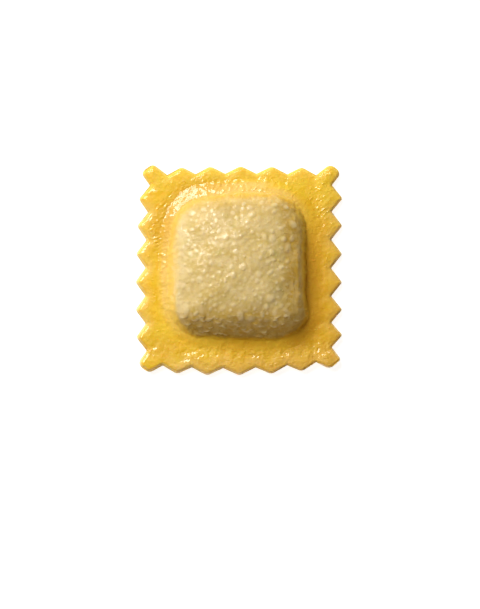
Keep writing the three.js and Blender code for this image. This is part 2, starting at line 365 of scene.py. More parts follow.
def plan_grid(cut):
    """The plan place of every crossing of mesh lines: x and y arrays, first index along X."""
    half = [
        (cut["right"][:, 0].mean() - cut["left"][:, 0].mean()) / 2,
        (cut["top"][:, 1].mean() - cut["bottom"][:, 1].mean()) / 2,
    ]
    lines_x = half[0] * bunched(len(cut["bottom"]))
    lines_y = half[1] * bunched(len(cut["left"]))
    plain = np.stack(np.meshgrid(lines_x, lines_y, indexing="ij"), axis=-1)
    left = teeth_weight(plain[..., 0] + half[0])[..., None]
    right = teeth_weight(half[0] - plain[..., 0])[..., None]
    bottom = teeth_weight(plain[..., 1] + half[1])[..., None]
    top = teeth_weight(half[1] - plain[..., 1])[..., None]
    move_left = (cut["left"] - plain[0])[None]
    move_right = (cut["right"] - plain[-1])[None]
    move_bottom = (cut["bottom"] - plain[:, 0])[:, None]
    move_top = (cut["top"] - plain[:, -1])[:, None]
    return (
        plain
        + left * move_left + right * move_right + bottom * move_bottom + top * move_top
        - left * bottom * move_left[:, :1] - right * bottom * move_right[:, :1]
        - left * top * move_left[:, -1:] - right * top * move_right[:, -1:]
    )


def ring_of(count_i, count_j):
    """Grid crossings round the edge, anticlockwise."""
    last_i, last_j = count_i - 1, count_j - 1
    return (
        [(i, 0) for i in range(last_i)]
        + [(last_i, j) for j in range(last_j)]
        + [(i, last_j) for i in range(last_i, 0, -1)]
        + [(0, j) for j in range(last_j, 0, -1)]
    )


def distance_to_cut(plan, ring):
    """How far in from the cut each crossing is, exact near the cut and capped further in."""
    near = np.full(plan.shape[:2], FURTHEST_INSET)
    for start, end in zip(ring, np.roll(ring, -1, axis=0)):
        run = end - start
        length_squared = max(run @ run, NEVER_ZERO)
        t = np.clip(((plan - start) @ run) / length_squared, 0.0, 1.0)
        away = plan - start - t[..., None] * run
        near = np.minimum(near, np.hypot(away[..., 0], away[..., 1]))
    return near


# ---- Heights and relief, in millimetres ------------------------------------
#
# Zones are soft steps from one place to another: in x and y from the middle, in y - x towards the
# upper left corner, in outside, which is 0 at the pillow's foot and negative on the pillow, and in
# inset from the cut.


def smooth(low, high, value):
    """0 up to low and 1 from high on, with an S-shaped change between; low may be the larger one."""
    t = np.clip((value - low) / (high - low), 0.0, 1.0)
    return t * t * (3 - 2 * t)


def soft_band(start, full, fading, end, value):
    """1 from full to fading, and 0 up to start and from end on."""
    return smooth(start, full, value) * smooth(end, fading, value)


def beyond_rounded_box(over_x, over_y, radius):
    """Distance outside a rounded rectangle, negative inside, from that outside its plain sides."""
    over_x, over_y = over_x + radius, over_y + radius
    inside = np.minimum(0.0, np.maximum(over_x, over_y))
    return np.hypot(np.maximum(0.0, over_x), np.maximum(0.0, over_y)) + inside - radius


def pillow_side(x, y):
    """How far each place is outside the pillow's foot, and the measures of its side there."""
    left, right, top, bottom = (PILLOW[name] for name in ("left", "right", "top", "bottom"))
    top_foot, bottom_foot = (
        foot + inwards * fall * ((x - middle) / BOW_SPAN) ** 2
        for foot, inwards, (fall, middle) in ((top.foot, -1, TOP_BOW), (bottom.foot, 1, BOTTOM_BOW))
    )
    bulge, bulge_middle, bulge_width = CORNER_BULGE
    right_foot = right.foot + bulge * np.exp(-(((y - bulge_middle) / bulge_width) ** 2))
    over_x = np.maximum(left.foot - x, x - right_foot)
    over_y = np.maximum(bottom_foot - y, y - top_foot)
    radius = CORNER_RADIUS + CORNER_RADIUS_CHANGE * (y - x)
    weight_x = np.maximum(0.0, over_x + radius + SIDE_BLEND) ** 2
    weight_y = np.maximum(0.0, over_y + radius + SIDE_BLEND) ** 2
    turn = (weight_y / np.maximum(weight_x + weight_y, NEVER_ZERO))[..., None]
    side_x = np.where((left.foot - x > x - right_foot)[..., None], left, right)
    side_y = np.where((bottom_foot - y > y - top_foot)[..., None], bottom, top)
    measures = side_x + (side_y - side_x) * turn
    return beyond_rounded_box(over_x, over_y, radius), PillowSide(*np.moveaxis(measures, -1, 0))


def soft_ramp(value, softness):
    """0 below zero and the value itself above it, with a soft bend between."""
    return softness * np.logaddexp(0.0, value / softness)


def pillow(x, y, outside, side, height):
    """Height of the pillow and its skirt above the rim."""
    ramp = np.clip(outside / side.skirt, 0.0, 1.0)
    skirt = side.skirt_height * (1 - ramp - SKIRT_EASE * (smooth(0.0, 1.0, ramp) - ramp))
    drop = np.clip(1 + outside / side.wall, 0.0, 1.0)
    wall = (1 - drop**WALL_ROUNDNESS) ** WALL_FILLET
    shoulder = side.tilt * soft_ramp(outside + side.shoulder, SHOULDER_SOFTNESS)
    crown = CROWN * ((x - CREST[0]) ** 2 + (y - CREST[1]) ** 2)
    lumps = sum(rise * np.sin(rate_x * x + rate_y * y + start) for rise, rate_x, rate_y, start in LUMPS)
    return skirt + wall * (height - side.skirt_height - shoulder - crown + lumps)


def rim_height(x, y, inset, sizes):
    """Top of the rim above the table: thicker below and to the right, rounded down to the cut."""
    narrowing = np.clip((x + EDGE_VARIATION_ALONG_Y * np.abs(y)) / EDGE_VARIATION_SPAN, -1.0, 1.0)
    radius = sizes.edge_radius / MM * (1 - EDGE_VARIATION * narrowing)
    short = np.clip(radius - inset, 0.0, radius)
    edge_drop = radius - np.sqrt(radius**2 - short**2)
    roll = RIM_ROLL * np.clip(1 - inset / RIM_ROLL_WIDTH, 0.0, 1.0) ** 2
    roll *= 1 - RIM_ROLL_LOST * smooth(*LOWER_RIM, y)
    wander = SWELL_WANDER * noise_field(x, y, 2.6, 47.0)
    swell = sum(
        rise * smooth(0.0, 1.0, (value + wander - start) / (end - start))
        for value, (rise, start, end) in ((y, BOTTOM_SWELL), (x, RIGHT_SWELL))
    )
    return sizes.rim_thickness / MM + swell - roll - edge_drop


def noise_field(x, y, size, pattern, octaves=2):
    """Soft noise of about -1 to 1 with features of that size; each pattern number looks different."""
    flat = zip((x / size).ravel(), (y / size).ravel())
    values = [noise.fractal(Vector((u, v, pattern)), 1.0, 2.0, octaves) for u, v in flat]
    return np.array(values).reshape(x.shape)


def filled_share(x, y, outside, side):
    """1 where the filling lies under the dough, 0 outside it, softest at the upper left."""
    beyond = outside + side.dough + 0.35 * noise_field(x, y, 2.2, 3.0)
    softness = 0.4 + 0.9 * smooth(-8.0, 16.0, y - x)
    return 1 - smooth(-softness, softness, beyond)


class Grain(NamedTuple):
    """A grain of filling. Its height is over its radius; the defaults are those of a large round one."""

    x: float
    y: float
    radius: float
    stretch: float = 1.0
    degrees: float = 0.0
    height: float = 0.24
    paleness: float = 0.75


# The grains that stand out most: x, y and radius, then stretch and degrees for those that aren't round.
LARGE_GRAINS = (
    (7.5, 13.6, 0.7, 1.4, 10.0), (10.0, 13.2, 0.6, 1.5, -15.0), (2.8, 11.6, 0.75, 1.3, 20.0),
    (-0.4, 10.9, 0.6), (1.8, 10.1, 0.6, 1.2, 60.0), (11.4, 9.6, 0.85, 1.5, -60.0),
    (5.4, 6.8, 0.75, 1.5, -65.0), (7.0, 8.0, 0.6), (2.8, 7.8, 0.55), (0.4, 7.1, 0.55),
    (9.4, 6.4, 0.8), (11.1, 6.5, 0.7, 1.3, 80.0), (8.8, 4.5, 0.55, 1.4, 20.0),
    (6.9, 3.5, 0.7, 1.4, -80.0), (7.3, 2.0, 0.55), (9.0, 0.4, 0.65, 1.2, 50.0),
    (6.6, -0.6, 0.55, 1.9, 45.0), (9.2, -2.1, 0.6), (7.9, -2.8, 0.5), (8.1, -4.3, 0.55),
    (6.6, -6.2, 1.0, 1.2, -20.0), (5.8, -7.9, 0.8),
)


def scatter_grains(sizes):
    """The large grains, and small ones packed at random between them without crowding."""
    rng = np.random.default_rng(sizes.seed)
    mean = sizes.grain_radius / MM
    grains = [Grain(*measures) for measures in LARGE_GRAINS]
    for _ in range(GRAIN_TRIES):
        x = rng.uniform(FILLED_LOW[0], FILLED_HIGH[0])
        y = rng.uniform(FILLED_LOW[1], FILLED_HIGH[1])
        low = smooth(-9.5, -11.0, y)
        drooping = smooth(-5.5, -8.0, y)
        right = smooth(9.5, 11.5, x)
        radius = mean * np.clip(rng.lognormal(0.1, 0.35), *GRAIN_SIZES)
        stretch = 1 + abs(rng.normal(0.0, 0.35)) + 0.15 * drooping
        degrees = rng.normal(60.0, 40.0) * (1 - drooping) + rng.normal(75.0, 40.0) * drooping * (1 - low)
        height = sizes.grain_height / MM / mean * (0.35 + 0.95 * rng.uniform() ** 1.4)
        height *= (1 + 0.2 * drooping) * (1 - 0.5 * right)
        paleness = 1 - max(0.7 * low, 0.5 * right)
        if all(math.hypot(x - g.x, y - g.y) > GRAIN_SPACING * (radius + g.radius) for g in grains):
            grains.append(Grain(x, y, radius, stretch, degrees, height, paleness))
    return grains


def grain_relief(x, y, sizes):
    """Height of the grains, and a mask that is 1 on top of each."""
    relief = np.zeros_like(x)
    tops = np.zeros_like(x)
    for grain in scatter_grains(sizes):
        reach = grain.radius * grain.stretch
        near = np.nonzero((np.abs(x - grain.x) < reach) & (np.abs(y - grain.y) < reach))
        dx, dy = x[near] - grain.x, y[near] - grain.y
        angle = math.radians(grain.degrees)
        along = (dx * math.cos(angle) + dy * math.sin(angle)) / grain.stretch
        across = dy * math.cos(angle) - dx * math.sin(angle)
        dome = np.maximum(0.0, 1 - (along**2 + across**2) / grain.radius**2) ** GRAIN_ROUNDNESS
        relief[near] = np.maximum(relief[near], grain.height * grain.radius * dome)
        paleness = min(1.0, grain.height / GRAIN_SHOWS) * grain.paleness
        tops[near] = np.maximum(tops[near], dome * paleness)
    return relief, tops


def drawn_out_field(x, y, degrees, length_over_width, width, pattern):
    """Noise drawn out along a direction, for wrinkles that run that way."""
    angle = math.radians(degrees)
    along = x * math.cos(angle) + y * math.sin(angle)
    across = y * math.cos(angle) - x * math.sin(angle)
    return noise_field(along / length_over_width, across, width, pattern)


def skirt_zone(x, y, outside):
    """1 over the upper left skirt of the pillow, widest at the corner and along the upper side."""
    corner = y - x
    widening = 1.4 * np.maximum(smooth(14.0, 28.0, corner), smooth(13.0, 16.0, y))
    reach = 2.2 + widening + 1.6 * smooth(20.0, 28.0, corner)
    start = -0.8 - smooth(16.0, 26.0, corner)
    return soft_band(start, start + 1.1, reach - 1.6, reach, outside) * smooth(6.0, -8.0, x * 0.8 - y)


def skirt_wrinkles(x, y, outside):
    """Broken wrinkles over the upper left skirt: oblique, and nearly level down the left side."""
    wrinkles = drawn_out_field(x, y, 45.0, 2.6, 0.5, 11.0) + 0.5 * noise_field(x, y, 0.7, 13.0)
    left = smooth(-12.0, -14.5, x) * smooth(12.0, 8.0, y)
    wrinkles += left * (1.4 * drawn_out_field(x, y, 10.0, 2.0, 0.5, 83.0) - wrinkles)
    wrinkles = np.maximum(wrinkles, -0.15)  # raised wrinkles, with hardly a groove between
    calm = 1 - 0.5 * smooth(2.6, 1.2, outside)
    ends = 0.9 * smooth(-9.0, -4.0, x) + 0.9 * smooth(-13.0, -15.0, x)
    return wrinkles * skirt_zone(x, y, outside) * (calm + ends)


def filament_folds(x, y, filled):
    """Thin raised folds over the filling, running down to the right, most of them at the left."""
    bend_x = x + 0.9 * noise_field(x, y, 3.5, 23.0)
    bend_y = y + 0.9 * noise_field(x, y, 3.5, 29.0)
    ridge = 1 - np.abs(drawn_out_field(bend_x, bend_y, -60.0, 2.0, 0.75, 31.0))
    zone = 0.3 + 0.7 * smooth(6.0, 0.0, x) * smooth(12.0, 8.0, y) * smooth(-9.0, -4.0, y)
    return np.clip(ridge, 0.0, 1.0) ** 6 * filled * zone


def flank_lips(x, y, outside, sizes):
    """Small folds that droop on the lower flank: their height, and a mask of painted highlight along their
    thin lip edges.
    """
    rng = np.random.default_rng(sizes.seed)
    relief = np.zeros_like(x)
    lit_lips = np.zeros_like(x)
    for _ in range(LIP_COUNT):
        dx = x - rng.uniform(FILLED_LOW[0], FILLED_HIGH[0])
        dy = y - rng.uniform(*LIP_ROWS) - rng.normal(0.0, 0.2) * dx
        half_width = rng.uniform(*LIP_HALF_WIDTH)
        across = dx / half_width
        up = dy / (half_width * rng.uniform(0.5, 0.8)) - 0.5 * across**2
        span = np.clip(1 - across**2, 0.0, 1.0)
        # It rises slowly on its way down, and ends steeply in the lip.
        rise = np.clip((1 - up) / 2, 0.0, 1.0) ** 2.2 * smooth(-1.0, -0.7, up) * span
        relief = np.maximum(relief, rise)
        # Painted highlight along each fold's rim, where it bulges out and catches the light.
        lit_lips = np.maximum(lit_lips, np.exp(-(((up + 0.62) / 0.34) ** 2)) * span)
    zone = soft_band(-6.0, -4.6, -1.2, -0.4, outside) * smooth(-13.0, -10.5, x)
    return relief * zone, lit_lips * zone


def rim_strokes(x, y, outside):
    """Short oblique wrinkles on the rim towards the right and upper right teeth."""
    zone = smooth(1.2, 2.4, outside) * smooth(14.0, 16.5, x) * (0.35 + 0.65 * smooth(4.0, 9.0, y))
    return 3.0 * np.clip(drawn_out_field(x, y, 35.0, 2.6, 0.5, 67.0) - 0.2, 0.0, 1.0) * zone


def flank_folds(x, y, outside):
    """Folds that run down the right flank of the pillow and round its lower corner."""
    zone = soft_band(-4.5, -3.0, -0.6, 0.3, outside) * smooth(10.0, 12.0, x)
    return 1.8 * drawn_out_field(x, y, 95.0, 3.0, 0.7, 37.0) * zone


def rim_creases(x, y, outside):
    """Fine creases that run outwards across the rim, strongest on the lower side."""
    outward = noise_field(x, y * 0.6, 0.45, 17.0)
    return outward * smooth(0.6, 1.8, outside) * smooth(-14.0, -17.0, y) * smooth(-18.0, -15.0, x)


def dough_tints(x, y, outside, inset):
    """Masks for pale dough, partly thin and partly painted sheen and highlight; deeper dough, partly folded
    up at the foot and mostly painted shadow and shade; and dough pressed thin at the cut.
    """
    upper_side = smooth(11.0, 14.0, y) * smooth(-10.0, -4.0, x)
    # Painted shade along the upper wall, which faces the light.
    top_wall_shade = soft_band(-3.8, -2.0, -1.2, 0.0, outside) * upper_side
    upper_left = smooth(12.0, -10.0, x - y)
    # Paler dough on the upper left walls only, which face the light: partly thin dough, partly painted
    # sheen.
    stretched_and_lit = 0.7 * soft_band(-5.0, -3.0, 0.2, 2.2, outside) * upper_left * (1 - 0.8 * top_wall_shade)
    # Painted highlight: pale dough in the skirt's band, where the light is reflected.
    shining_width = 0.6 + 1.2 * smooth(8.0, 14.0, y)
    near_foot = smooth(shining_width + 1.2, shining_width, outside)
    shining = skirt_zone(x, y, outside) * smooth(9.0, 4.0, x) * near_foot

    # Deeper dough in a band round the pillow's foot, widest on the right: painted shadow of the pillow on
    # the rim, and thick dough folded up there.
    foot_width = 6.0 + 2.5 * smooth(10.0, 14.0, x)
    foot = soft_band(-1.2, 0.4, 1.2, foot_width, outside)
    below = smooth(-8.0, -12.0, y) * smooth(14.0, 8.0, x)
    lower_right = smooth(-8.0, 16.0, x - y) * (1 - 0.5 * below)
    lower_rim = soft_band(-20.0, -17.5, -17.0, -12.0, y)
    upper_corner = smooth(16.0, 24.0, y - x) * smooth(0.0, -1.0, outside)

    # Pale edges of thin dough at the cut. They are painted paler and wider on the lower row, whose edges
    # fall in shade, and less pale on the upper row and its cut line, which face the light.
    edge_width = 2.8 + 1.0 * smooth(-14.0, -17.0, y)
    rows = 1 - 0.75 * smooth(*UPPER_RIM, y) + 0.4 * smooth(-16.0, -19.0, y)
    lugs = 1 - 0.9 * smooth(-13.0, -17.0, x) * smooth(-12.0, -16.0, y)
    patchy = np.clip(0.75 + 0.4 * noise_field(x, y, 2.5, 71.0), 0.0, 1.0)
    teeth = smooth(edge_width, 0.3, inset) * patchy * rows * lugs
    cut_line = (0.9 - 0.45 * smooth(*UPPER_RIM, y)) * smooth(0.9, 0.1, inset)
    return {
        # Pale dough, with painted sheen on the lit upper left and a painted highlight in the skirt's band.
        "wall": np.maximum(stretched_and_lit, 0.8 * shining),
        # Painted shadow of the pillow on the right and lower rim; painted shade darker towards the lower
        # right, on the lower rim and on upper walls that face the light; and deeper dough under the upper
        # left skirt.
        "foot": np.maximum.reduce([
            foot * np.maximum(0.92 * lower_right, 0.6 * smooth(-16.0, -26.0, x - y)),
            0.52 * smooth(-8.0, 36.0, x - y),
            (0.25 + 0.2 * smooth(-12.0, -16.0, x)) * lower_rim,
            0.6 * top_wall_shade,
            0.35 * upper_corner,
        ]),
        "edge": np.maximum(0.8 * teeth, cut_line),
    }


def frosted_zone(x, y, outside):
    """1 where the dough is finely crinkled: the upper left skirt, most of the rim, the lower flank."""
    patchy = np.clip(0.7 + noise_field(x, y, 1.8, 79.0), 0.0, 1.0)
    lower = smooth(-14.5, -17.0, y) * smooth(0.6, 2.0, outside) * smooth(-17.5, -14.5, x) * patchy
    upper = 0.6 * smooth(16.0, 18.0, y) * smooth(2.4, 3.6, outside) * patchy
    right = smooth(14.0, 17.0, x) * smooth(0.0, 8.0, y) * patchy
    flank = 0.5 * smooth(-8.0, -10.0, y) * smooth(0.0, -1.0, outside)
    skirt = skirt_zone(x, y, outside) * (0.4 + 0.6 * smooth(1.4, 2.4, outside))
    return np.maximum.reduce([skirt, 0.95 * lower, 0.8 * right, upper, flank])


def painted_flank_shade(x, y, outside):
    """Painted shade on the filling, 1 at most: on the right and lower flanks, near the upper wall, and
    faintly left of the middle and over the upper left.
    """
    return np.maximum.reduce([
        0.9 * smooth(6.0, 11.0, x) * smooth(-6.5, -3.5, outside),
        0.5 * smooth(8.0, 13.0, y) * smooth(-7.5, -2.5, outside),
        0.93 * smooth(-6.5, -11.0, y),
        0.18 * np.exp(-(((x + 6.5) / 2.5) ** 2)),
        0.12 * smooth(-4.0, 6.0, y - x),
    ])


def without_film(x, y, outside, inset, between_grains):
    """1 where no wet film lies: between the grains, on the lower and right flanks, along the cut."""
    flanks = smooth(6.0, 11.0, np.maximum(x, -y)) * smooth(-5.5, -2.5, outside)
    along_cut = (0.4 + 0.4 * smooth(*UPPER_RIM, y)) * smooth(-14.0, -10.0, y)
    return np.maximum.reduce([
        between_grains,
        flanks * smooth(3.5, 1.5, outside),
        along_cut * smooth(1.4, 0.4, inset),
    ])


def dough_surface(plan, ring, sizes):
    """The upper surface: its points, and the masks that colour it."""
    x, y = plan[..., 0], plan[..., 1]
    inset = distance_to_cut(plan, ring)
    outside, side = pillow_side(x, y)
    for rise, size, pattern in FOOT_WANDER:
        outside = outside + rise * noise_field(x, y, size, pattern)
    drawn_in, start, end = FOOT_DRAWN_IN
    outside += drawn_in * smooth(start, end, y - x)
    height = pillow(x, y, outside, side, sizes.pillow_height / MM)
    filled = filled_share(x, y, outside, side)
    grains, grain_tops = grain_relief(x, y, sizes)
    filaments = filament_folds(x, y, filled)
    drooping, lit_lips = flank_lips(x, y, outside, sizes)
    lumps = noise_field(x, y, 2.6, 41.0) + noise_field(x, y, 1.2, 73.0, octaves=1)
    relief = (
        grains * filled
        + sizes.lump_depth / MM * lumps * filled
        + sizes.fold_depth / MM * (filaments + flank_folds(x, y, outside))
        + sizes.lip_depth / MM * drooping
        + sizes.mottle_depth / MM * noise_field(x, y, 0.9, 5.0, octaves=3)
        + sizes.wrinkle_depth / MM * skirt_wrinkles(x, y, outside)
        + sizes.crease_depth / MM * (rim_creases(x, y, outside) + rim_strokes(x, y, outside))
    ) * smooth(0.0, sizes.edge_radius / MM, inset)
    points = np.dstack([x, y, rim_height(x, y, inset, sizes) + height])
    normals = np.cross(np.gradient(points, axis=0), np.gradient(points, axis=1))
    normals /= np.linalg.norm(normals, axis=-1, keepdims=True)
    between_grains = filled * (0.95 - np.maximum(0.6 * grain_tops, 0.75 * filaments**3))
    masks = {
        "filled": filled,
        # Pale grains, painted highlight on the rims of the flank's folds, and paler near the left edge of
        # the filling.
        "grain": np.maximum.reduce([grain_tops, lit_lips, 0.5 * smooth(-9.0, -12.5, x)]) * filled,
        **dough_tints(x, y, outside, inset),
        "frost": frosted_zone(x, y, outside),
        "flank": painted_flank_shade(x, y, outside),
        "dry": without_film(x, y, outside, inset, between_grains),
    }
    return points + normals * relief[..., None], masks


# ---- The closed mesh -------------------------------------------------------


def wall_rows(rim_points, outwards, sizes):
    """Rows of points down the cut wall, from under the rounded edge to the heel."""
    rows = []
    for k in range(1, WALL_ROWS + 1):
        t = k / WALL_ROWS
        z = rim_points[:, 2] * (1 - t) + HEEL * t
        seam_height = sizes.rim_thickness / MM / 2
        seam = WALL_SEAM_DEPTH * np.exp(-(((z - seam_height) / WALL_SEAM_WIDTH) ** 2))
        shift = WALL_FLARE * t - seam
        rows.append(np.column_stack([rim_points[:, :2] + outwards * shift[:, None], z]))
    return rows


def outward_directions(ring_points):
    """Unit vectors pointing out of an anticlockwise ring, in plan."""
    run = np.roll(ring_points, -1, axis=0) - np.roll(ring_points, 1, axis=0)
    out = np.column_stack([run[:, 1], -run[:, 0]])
    return out / np.linalg.norm(out, axis=1, keepdims=True)


def add_object(name, data):
    """An object in the scene, made of that mesh, light or camera."""
    made = bpy.data.objects.new(name, data)
    bpy.context.scene.collection.objects.link(made)
    return made


FILLED_FACE, CUT_FACE, UNDERSIDE = range(3)  # the raviolo's materials


class MeshParts:
    """Gathers points, faces, masks and material numbers for one mesh."""

    def __init__(self, mask_names):
        self.points, self.faces, self.materials = [], [], []
        self.masks = {name: [] for name in mask_names}

    def add_points(self, points, masks=None):
        """Adds points and returns their numbers."""
        first = len(self.points)
        self.points.extend(points.tolist())
        for name, values in self.masks.items():
            values.extend(masks[name].tolist() if masks else [0.0] * len(points))
        return np.arange(first, first + len(points))

    def add_faces(self, faces, material):
        """Adds faces, given as lists of point numbers."""
        self.faces.extend(faces)
        self.materials.extend([material] * len(faces))

    def add_grid(self, numbers, material, flipped=False):
        """Quads between the rows of a grid, facing up unless flipped."""
        quads = np.stack([numbers[:-1, :-1], numbers[1:, :-1], numbers[1:, 1:], numbers[:-1, 1:]], axis=-1)
        quads = quads.reshape(-1, 4)
        self.add_faces((quads[:, ::-1] if flipped else quads).tolist(), material)

    def add_band(self, upper, lower, material):
        """Quads between two rings of as many points, the upper one first, both anticlockwise."""
        quads = np.column_stack([upper, lower, np.roll(lower, -1), np.roll(upper, -1)])
        self.add_faces(quads.tolist(), material)

    def add_halving_band(self, upper, lower, material):
        """Triangles between a ring and one with half as many points."""
        count = len(lower)
        for k in range(count):
            first, middle, last = upper[2 * k], upper[2 * k + 1], upper[(2 * k + 2) % (2 * count)]
            low, next_low = lower[k], lower[(k + 1) % count]
            faces = [[first, low, middle], [middle, low, next_low], [middle, next_low, last]]
            self.add_faces([[int(n) for n in face] for face in faces], material)

    def build(self, name, materials):
        """The object, with the masks as attributes of its points."""
        mesh = bpy.data.meshes.new(name)
        mesh.from_pydata((np.array(self.points) * MM).tolist(), [], self.faces)
        for material in materials:
            mesh.materials.append(material)
        mesh.polygons.foreach_set("material_index", self.materials)
        mesh.polygons.foreach_set("use_smooth", [True] * len(self.faces))
        for label, values in self.masks.items():
            mesh.attributes.new(label, "FLOAT", "POINT").data.foreach_set("value", values)
        mesh.update()
        mesh.validate()
        return add_object(name, mesh)


def raviolo_mesh(sizes, materials):
    """The whole raviolo as one closed mesh: filled side, fluted cut and underside."""
    cut = cut_outline()
    plan = plan_grid(cut)
    count_i, count_j = plan.shape[:2]
    ring = ring_of(count_i, count_j)
    ring_i, ring_j = np.array(ring).T
    edge = plan[ring_i, ring_j]
    outwards = outward_directions(edge)
    inner_plan = plan.copy()
    inner_plan[ring_i, ring_j] -= outwards * WALL_FLARE
    edge = inner_plan[ring_i, ring_j]

    upper, masks = dough_surface(inner_plan, edge, sizes)
    parts = MeshParts(masks)
    flat_masks = {name: values.ravel() for name, values in masks.items()}
    numbers = parts.add_points(upper.reshape(-1, 3), flat_masks).reshape(count_i, count_j)
    parts.add_grid(numbers, FILLED_FACE)

    previous = numbers[ring_i, ring_j]
    for row in wall_rows(upper[ring_i, ring_j], outwards, sizes):
        current = parts.add_points(row)
        parts.add_band(previous, current, CUT_FACE)
        previous = current

    coarse = plan[::2, ::2].copy()
    coarse_ring = np.array(ring_of(*coarse.shape[:2])).T
    coarse[tuple(coarse_ring)] -= outwards[::2] * HEEL
    low_points = np.dstack([coarse, np.zeros(coarse.shape[:2])])
    low_masks = {name: values[::2, ::2].ravel() for name, values in masks.items()}
    low_numbers = parts.add_points(low_points.reshape(-1, 3), low_masks).reshape(coarse.shape[:2])
    parts.add_grid(low_numbers, UNDERSIDE, flipped=True)
    parts.add_halving_band(previous, low_numbers[tuple(coarse_ring)], CUT_FACE)
    return parts.build("raviolo_dough", materials)


# ---- Shader building blocks ------------------------------------------------


def add_node(tree, kind, settings=None, inputs=None):
    """A node with its settings and socket values; an output as a value is linked."""
    made = tree.nodes.new(kind)
    for key, value in (settings or {}).items():
        setattr(made, key, value)
    for key, value in (inputs or {}).items():
        if isinstance(value, bpy.types.NodeSocket):
            tree.links.new(value, made.inputs[key])
        else:
            made.inputs[key].default_value = value
    return made


def maths(tree, operation, *values):
    """The result of a sum on sockets or numbers."""
    return add_node(tree, "ShaderNodeMath", {"operation": operation}, dict(enumerate(values))).outputs[0]


def blend_colour(tree, share_of_second, first, second):
    """The first colour, covered with a share of the second."""
    inputs = {0: share_of_second, 6: first, 7: second}  # the sockets that a colour mix uses
    return add_node(tree, "ShaderNodeMix", {"data_type": "RGBA"}, inputs).outputs[2]


def remap(tree, value, low, high, to_low=0.0, to_high=1.0):
    """Takes values between low and high softly to others, and cuts off those outside."""
    inputs = {"Value": value, "From Min": low, "From Max": high, "To Min": to_low, "To Max": to_high}
    return add_node(tree, "ShaderNodeMapRange", {"interpolation_type": "SMOOTHSTEP"}, inputs).outputs[0]


def mask_value(tree, name):
    """One of the mesh's masks."""
    return add_node(tree, "ShaderNodeAttribute", {"attribute_name": name}).outputs["Fac"]


def noise_value(tree, size, detail=2.0, roughness=0.5, stretch=(1.0, 1.0, 1.0), degrees=0.0):
    """Noise with features of about that size in metres, drawn out along a direction in plan."""
    place = add_node(tree, "ShaderNodeTexCoord").outputs["Object"]
    inputs = {"Vector": place, "Rotation": (0.0, 0.0, math.radians(degrees)), "Scale": stretch}
    mapped = add_node(tree, "ShaderNodeMapping", None, inputs).outputs[0]
    scale = maths(tree, "DIVIDE", 1.0, size)
    inputs = {"Vector": mapped, "Scale": scale, "Detail": detail, "Roughness": roughness}
    return add_node(tree, "ShaderNodeTexNoise", None, inputs).outputs["Fac"]


def new_group(name, inputs, outputs):
    """An empty node group with named sockets; returns it and its input and output nodes."""
    group = bpy.data.node_groups.new(name, "ShaderNodeTree")
    for label, kind, default in inputs:
        socket = group.interface.new_socket(label, in_out="INPUT", socket_type=kind)
        socket.default_value = default
    for label, kind in outputs:
        group.interface.new_socket(label, in_out="OUTPUT", socket_type=kind)
    return group, add_node(group, "NodeGroupInput"), add_node(group, "NodeGroupOutput")


def opaque(rgb):
    """The colour as a socket takes it, with alpha."""
    return (*rgb, 1.0)


WHITE = (1.0, 1.0, 1.0, 1.0)
COLOUR, VALUE = "NodeSocketColor", "NodeSocketFloat"


def dough_mottle_group():
    """Uneven egg dough: cloudy patches from pale to deep, and fine speckle."""
    tones = [("Dough", COLOUR, WHITE), ("Deep", COLOUR, WHITE)]
    measures = [("Patch Size", VALUE, 0.004), ("Speckle", VALUE, 0.3)]
    group, given, result = new_group("Dough Mottle", tones + measures, [("Color", COLOUR)])
    patches = remap(group, noise_value(group, given.outputs["Patch Size"], detail=3.0), 0.35, 0.68)
    cloudy = blend_colour(group, patches, given.outputs["Dough"], given.outputs["Deep"])
    grit = remap(group, noise_value(group, 0.0004), 0.3, 0.75, to_low=0.86, to_high=1.06)
    gritty = add_node(group, "ShaderNodeHueSaturation", None, {"Value": grit, "Color": cloudy}).outputs[0]
    group.links.new(blend_colour(group, given.outputs["Speckle"], cloudy, gritty), result.inputs["Color"])
    return group


TINTS = ("pale_dough_and_sheen", "foot_dough_and_shade", "edge_dough", "filling", "filling_shade", "flank", "grain", "herb")


def filling_tint_group():
    """Filling showing through thin dough: beige, darker clouds, herbs, painted shade on the flanks and pale
    grains, over dough tints that carry painted sheen, highlight and shade.
    """
    sockets = [(name.replace("_", " ").title(), COLOUR, WHITE) for name in ("dough", *TINTS)]
    sockets.append(("Thinness", VALUE, 1.0))
    group, given, result = new_group("Filling Tint", sockets, [("Color", COLOUR)])
    clouds = remap(group, noise_value(group, 0.0026, detail=4.0, roughness=0.65), 0.38, 0.62)
    streaks = noise_value(group, 0.0013, detail=3.0, roughness=0.6, stretch=(0.6, 1.0, 1.0))
    streaks = remap(group, streaks, 0.38, 0.62, to_low=0.55)
    herbs = remap(group, noise_value(group, 0.0021, detail=1.0), 0.62, 0.78, to_high=0.35)
    # The grain mask also paints highlight on the rims of the flank's folds; the flank mask is painted
    # shade, broken up by streaks.
    grains = remap(group, mask_value(group, "grain"), 0.0, 0.8, to_high=0.6)
    flank_shade = maths(group, "MULTIPLY", mask_value(group, "flank"), streaks)
    seen = given.outputs["Filling"]
    layers = ((clouds, "Filling Shade"), (herbs, "Herb"), (flank_shade, "Flank"), (grains, "Grain"))
    for cover, tint in layers:
        seen = blend_colour(group, cover, seen, given.outputs[tint])
    dough = given.outputs["Dough"]
    # Pale dough also paints sheen and highlight; foot dough paints shadow and shade.
    for name, tint in (("edge", "Edge Dough"), ("wall", "Pale Dough And Sheen"), ("foot", "Foot Dough And Shade")):
        dough = blend_colour(group, mask_value(group, name), dough, given.outputs[tint])
    shown = maths(group, "MULTIPLY", mask_value(group, "filled"), given.outputs["Thinness"])
    group.links.new(blend_colour(group, shown, dough, seen), result.inputs["Color"])
    return group


